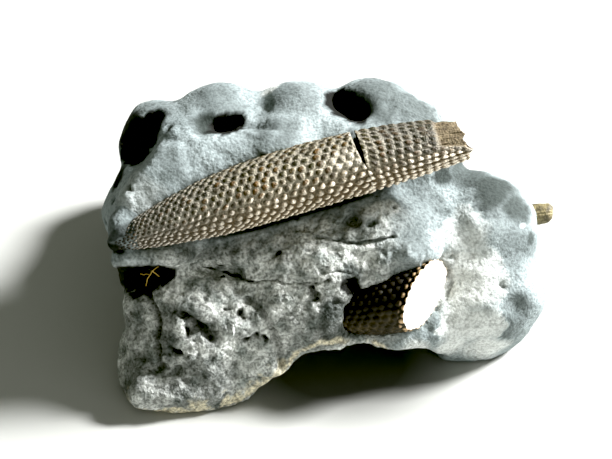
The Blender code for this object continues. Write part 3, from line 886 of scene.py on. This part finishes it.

# Most of these are painted light and shade: darker on the back lobes, the knob at the right and
# under the long spine, paler on the front and the right foot. A few are the stone's own stains and
# grains.
STAINS_AND_PAINTED_LIGHT = (
    # x, y, z, reach, in mm; how dark, from 0 to 1, or how pale, from 0 to -1
    (-19.4, 0.4, 0.4, 2.6, 0.5),
    (18, 6.3, -8, 3.2, 0.85),  # painted shade on the knob at the right
    (20.4, 4.2, -6.5, 3.6, 0.95),
    (22.6, 2.4, -6.2, 2.6, 0.9),
    (23, -1.8, -5.8, 3.6, 0.36),
    (22.6, -8.8, -6.6, 2.6, 0.45),
    (22.3, -11.2, -7.6, 2.4, 0.45),
    (17.6, 1.6, -5, 2, -0.4),
    (24.4, -0.9, -6.8, 0.8, 0.9),
    (22.6, -8.6, -6.6, 2.2, 0.5),
    (14.8, 5.8, -6.6, 1.6, 0.95),
    (17, -0.9, -6.4, 0.8, 0.5),
    (13.5, -10.6, -6.2, 2, 0.45),
    (8.5, 14, -5, 4.8, 0.75),
    (12, 12.5, -6, 3.4, 0.75),
    (-9.6, 13.6, -5.5, 3.4, 0.55),
    (-1, 14, -5.5, 4, 0.5),
    (-15.5, 13, -6, 2.6, 0.4),
    (-10.7, 11, -3.6, 2.2, 1),  # shade beside the second hole
    (-2.2, 10.6, -1.7, 2.3, 0.6),
    (-4.8, 10.6, -2, 2, 0.5),
    (-3.9, 15.2, -7.2, 1.4, -1),
    (-14.2, -9, -2.4, 2, 0.4),
    (-12.3, -2.6, -1.4, 1.5, 0.72),
    (-10.2, -2.4, -2.8, 1.7, 0.75),
    (-8, -2, -2.8, 1.7, 0.68),
    (-5.6, -1.6, -2.4, 1.7, 0.55),
    (-10.2, -12, -3.4, 1.6, 0.6),
    (-6.2, -11, -3.2, 1.5, -0.6),
    (4.6, -4.8, -1.8, 1.8, 0.9),  # shade beside the second spine
    (3.1, -8.6, -2.4, 2.2, 0.9),
    (3, -11, -3.3, 2.2, 0.85),
    (-15, -12.2, -3.2, 2, 0.7),
    (-11.2, -9.6, -2.4, 2.2, 0.5),
    (-17.6, -14.4, -5, 2, 0.55),
    (-17.6, -8.4, -4, 1.6, 0.35),
    (0.6, -7, -3, 1.4, 0.5),
    (5, -7.6, -3.6, 2, 0.5),
    (5, -10.6, -4.6, 2.4, 0.3),
    (-2.9, -0.8, -2.3, 3, 0.36),
    (5.2, 1.2, -1.8, 1.7, 0.6),
    (12.4, 2.6, -4.8, 3.8, 0.42),
    (17.2, -0.8, -4.9, 3, -0.8),
    (11.2, 0, -2.6, 3, 0.55),
    (7.5, 2, -2, 1.1, -0.9),
    (9.1, 2.4, -2.5, 1.1, -0.8),
    (17.5, -5.4, -5.8, 4.6, -1),
    (17, -10.4, -6.6, 3.4, -0.9),
    (19, -10.8, -6.4, 3.4, -0.9),
    (19.5, -3.8, -6.2, 2.6, -0.7),
    (15.8, -13, -8.6, 3, -1),
    (11.8, -12.8, -6.9, 2, -1),
    (20, -13.4, -10, 3, -1),
    (23.4, 0.4, -6, 0.5, -1),  # a grain of white calcite
    (-12.4, -13.4, -3.3, 0.5, -1),
    (-15, -13.7, -3.9, 0.45, -1),
    (-8.3, -10.9, -3.4, 1, -1),
    (-17.4, 3.4, -0.5, 3, -0.35),
    (-13.6, 7.4, -0.6, 2.4, 0.3),
    (-12, -16.6, -5, 5, 0.62),
    (-17.5, -16.4, -6, 3.4, 0.65),
    (0.2, -10.8, -3.4, 3.6, 0.42),
    (-18.4, -10.5, -5.6, 2.8, 0.45),
)
EDGES = (  # crumbled bottom edges, with a painted highlight where light from the floor catches them: points, and width in mm
    (((-18.8, -18.3, -6.2), (-16.4, -19.1, -6.6), (-13, -19.4, -6.2), (-11.4, -19.2, -6)), 1.3),
    (((-8.4, -18.7, -6.2), (-6.7, -18, -7), (-4.4, -16.5, -5.6), (-2.6, -14.9, -5)), 1.2),
    (((-2.3, -14.9, -5), (-0.6, -12.9, -4.8), (1.5, -12.1, -4)), 0.5),
    (((1.5, -12.1, -4), (4.2, -12, -4.5), (9.1, -12.7, -6.1)), 0.45),
)

# painted highlight along the crumbled edges, and the stains with their painted light and shade,
# each with a wavering edge
ochre = np.zeros(len(points))
wisps = 0.8 * field(points, 0.7, 14, 2)
for line, width in EDGES:
    ochre = np.maximum(ochre, 0.9 - 0.9 * ease(from_line(points, line) / width + wisps, 0.3, 1.1))
stain_and_painted_light = np.zeros(len(points))
waver = 0.28 * field(points, 1.8, 9, 2)
for *centre, reach, depth in STAINS_AND_PAINTED_LIGHT:
    away = np.linalg.norm(points - centre, axis=1) / reach + waver
    amount = depth * (1 - ease(away, 0.45, 1.15))
    stain_and_painted_light = np.where(np.abs(amount) > np.abs(stain_and_painted_light), amount, stain_and_painted_light)

place = from_slope(points)
place[:, 2] = place[:, 2].clip(0)  # flat where it rests
write(mesh, place)
looks = dict(relief=relief, pits=pits, inside=inside, stain_and_painted_light=stain_and_painted_light, rough=rough, below=below)
looks["ochre"] = ochre
mark(mesh, looks)

# a golden rootlet, dried in the mouth of the cavity
ROOTLET_RADIUS = 0.07  # mm
ROOTLET_SIDES = 6
ROOTLET_MARK = 2.0  # its points' value in the edge highlight channel, which tells the material that this is root
ROOTLET = (
    ((-15.5, -3.8, -1.6), (-15.9, -4.1, -1.2), (-16.3, -4.4, -1.1), (-16.5, -4.8, -1.2),
     (-16.8, -5.2, -1.3), (-17, -6, -1.8)),
    ((-17.6, -4.7, -1.9), (-17.2, -4.8, -1.5), (-16.9, -4.7, -1.3), (-16.5, -4.8, -1.2)),
    ((-15.6, -5, -1.9), (-15.9, -4.7, -1.5), (-16.3, -4.4, -1.1)),
)

solid = bmesh.new()
solid.from_mesh(mesh)
turns = [2 * math.pi * m / ROOTLET_SIDES for m in range(ROOTLET_SIDES)]
for line in ROOTLET:
    previous = None
    for k, middle in enumerate(line):
        run = np.array(line[min(k + 1, len(line) - 1)]) - np.array(line[max(k - 1, 0)])
        first = np.cross(run, (0, 0, 1.0)) / np.linalg.norm(np.cross(run, (0, 0, 1.0)))
        second = np.cross(run, first) / np.linalg.norm(run)
        ring = [first * math.cos(a) + second * math.sin(a) for a in turns]
        ring = [solid.verts.new(from_slope(middle + ROOTLET_RADIUS * p)) for p in ring]
        for vert in ring:
            vert[solid.verts.layers.float["ochre"]] = ROOTLET_MARK
        for m in range(ROOTLET_SIDES if previous else 0):
            n = (m + 1) % ROOTLET_SIDES
            solid.faces.new((previous[m], previous[n], ring[n], ring[m]))
        if not previous or k == len(line) - 1:
            solid.faces.new(ring if not previous else ring[::-1])
        previous = ring
solid.to_mesh(mesh)
solid.free()
mesh.polygons.foreach_set("use_smooth", np.ones(len(mesh.polygons), bool))
stone = placed("limestone_matrix", mesh)

# Dry, weathered marl: matt and powdery, blue-grey where it is clean, with painted shade in the
# dents.
marl, tree, shader, place = new_material("weathered_marly_limestone", 0.92, 1.5)
relief, pits, inside, stain_and_painted_light, rough, below, ochre = (
    add(tree, "Attribute", out="Fac", attribute_name=key) for key in looks
)
clouds = add(tree, "TexNoise", {"Vector": place, "Scale": per_mm(5), "Detail": 4.0})
clean = add(tree, "ValToRGB", {"Fac": clouds}, stops=((0.3, "#8f999a"), (0.7, "#a9b3b4")))
mottle = add(tree, "TexNoise", {"Vector": place, "Scale": per_mm(1.8), "Detail": 3.0})
# painted light: the front below the long spine is painted paler than the top
front_painted_light = add(tree, "ValToRGB", {"Fac": mottle}, stops=((0.34, "#9aa09c"), (0.6, "#ebeee9")))
# the stains: most are painted shade and painted light, a few are the stone's own
pale_and_painted_light = add(tree, "MapRange", {"Value": stain_and_painted_light, "From Min": 0.0, "From Max": -1.0})
skin = clean
for amount, colour in ((below, front_painted_light), (pale_and_painted_light, "#e4e8e5"), (stain_and_painted_light, "#3b4240"), (ochre, "#f6eed2")):
    skin = add(tree, "MixRGB", {"Fac": amount, "Color1": skin, "Color2": colour})

# painted shade in the dents and painted light on the crests, and darker between its grains and
# crumbs, the more so where it is rough
ends = {"From Min": -0.8, "From Max": 0.8, "To Min": 0.62, "To Max": 1.1}
painted_dent_shade = add(tree, "MapRange", {"Value": relief, **ends})
shades = [add(tree, "MixRGB", {"Fac": rough, "Color1": "#ffffff", "Color2": painted_dent_shade})]
grain = add(tree, "TexNoise", {"Vector": place, "Scale": per_mm(0.3), "Detail": 2.0})
crumb = add(tree, "TexNoise", {"Vector": place, "Scale": per_mm(0.55), "Detail": 3.0})
ends = {"From Min": 0.15, "From Max": 0.8, "To Min": 0.76, "To Max": 0.55}
depth = add(tree, "MapRange", {"Value": rough, **ends})
for pattern, low, top in ((grain, 0.38, 0.58), (crumb, 0.34, 0.46)):
    speck = add(tree, "ValToRGB", {"Fac": pattern}, stops=((low, 0.0), (top, 1.0)))
    shades.append(add(tree, "MixRGB", {"Fac": speck, "Color1": depth, "Color2": "#ffffff"}))
for shade in shades:
    mixed = {"Fac": 1.0, "Color1": skin, "Color2": shade}
    skin = add(tree, "MixRGB", mixed, blend_type="MULTIPLY")

# painted shade, black, in the pits and holes, and gold on the rootlet
root = add(tree, "MapRange", {"Value": ochre, "From Min": 1.2, "From Max": 1.8})
for amount, colour in ((pits, "#191a17"), (inside, "#020202"), (root, "#b39a5c")):
    skin = add(tree, "MixRGB", {"Fac": amount, "Color1": skin, "Color2": colour})
tree.links.new(skin, shader.inputs["Base Color"])
hollow = add(tree, "Math", {0: crumb, 1: rough}, operation="MULTIPLY")
bump = add(tree, "Bump", {"Height": hollow, "Strength": 0.6, "Distance": 0.0006})
ends = {"From Min": 0.15, "From Max": 0.8, "To Min": 0.45, "To Max": 1.0}
finer = add(tree, "MapRange", {"Value": rough, **ends})
grain = add(tree, "Math", {0: grain, 1: finer}, operation="MULTIPLY")
finer = {"Height": grain, "Strength": 0.7, "Distance": 0.00018, "Normal": bump}
tree.links.new(add(tree, "Bump", finer), shader.inputs["Normal"])
stone.data.materials.append(marl)
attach(stone, "root")
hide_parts("stone_block")

# ---- The setting ----------------------------------------------------------------------------
# A wide sheet of white paper, one soft lamp from the right and a little behind, a weak card low
# in front at the right, and a dim white room. A painted shadow darkens the paper under the arch.

FLOOR_REACH = 1.5  # m, each way

corners = [(FLOOR_REACH * x, FLOOR_REACH * y, 0) for x, y in ((-1, -1), (1, -1), (1, 1), (-1, 1))]
floor_mesh = bpy.data.meshes.new("floor")
floor_mesh.from_pydata(corners, [], [(0, 1, 2, 3)])
floor = placed("floor", floor_mesh)
paper, tree, shader, place = new_material("white_paper", 0.9, 1.55)  # uncoated
arch = {"Location": (-0.08, 1.02, 0), "Scale": (70, 86, 1)}  # within 1 of 0 is under the arch
place = add(tree, "Mapping", {"Vector": place, **arch})
away = add(tree, "VectorMath", {"Vector": place}, out="Value", operation="LENGTH")
# painted shadow: the paper under the stone's arch is painted dark
painted_arch_shadow = add(tree, "MapRange", {"Value": away, "From Min": 1.05, "From Max": 0.5, "To Max": 0.74})
skin = add(tree, "MixRGB", {"Fac": painted_arch_shadow, "Color1": "#b2b3b0", "Color2": "#1c1d18"})
tree.links.new(skin, shader.inputs["Base Color"])
floor.data.materials.append(paper)

AIM = Vector(SLOPE_ORIGIN * MM)
LIGHT_AWAY = 0.7  # m
LIGHTS = (
    # name, shape, size in m, power in W; degrees behind the right-hand side, and above the floor
    ("soft_lamp", "DISK", (0.16, 0.16), 18.5, 15, 39),
    ("low_card", "RECTANGLE", (0.6, 0.1), 1.5, -52, 10),  # lights the spines' shaded sides
)
for name, shape, size, power, behind, height in LIGHTS:
    light = bpy.data.lights.new(name, "AREA")
    light.shape, light.energy = shape, power
    light.size, light.size_y = size
    turn, rise = math.radians(behind), math.radians(height)
    level = math.cos(rise)
    towards = Vector((level * math.cos(turn), level * math.sin(turn), math.sin(rise)))
    light_object = placed(name, light)
    light_object.location = AIM + towards * LIGHT_AWAY
    light_object.rotation_euler = towards.to_track_quat("Z", "Y").to_euler()

room = bpy.data.worlds.new("room")
room.use_nodes = True
tree = room.node_tree
place = add(tree, "TexCoord", out="Generated")
above = add(tree, "SeparateXYZ", {"Vector": place}, out="Z")
sky = add(tree, "ValToRGB", {"Fac": above}, stops=((0.0, "#3c3e36"), (0.6, "#e6e9de")))
background = tree.nodes["Background"]
tree.links.new(sky, background.inputs["Color"])
background.inputs["Strength"].default_value = 0.44
bpy.context.scene.world = room

camera = bpy.data.cameras.new("camera")
camera.sensor_width = 36
camera.lens = FOCAL_LENGTH / PICTURE[0] * camera.sensor_width
camera_object = placed("camera", camera)
camera_object.location = AIM + Vector(SLOPE_AXES[2]) * (CAMERA_AWAY * MM)
camera_object.rotation_euler = (SLOPE_LEAN, 0, 0)
bpy.context.scene.camera = camera_object

# the picture's tone: a little darker between, and true black in the holes
view = bpy.context.scene.view_settings
view.view_transform = "Standard"
view.gamma = 0.92
view.use_curve_mapping = True
view.curve_mapping.black_level = (0.024, 0.023, 0.029)
view.curve_mapping.update()
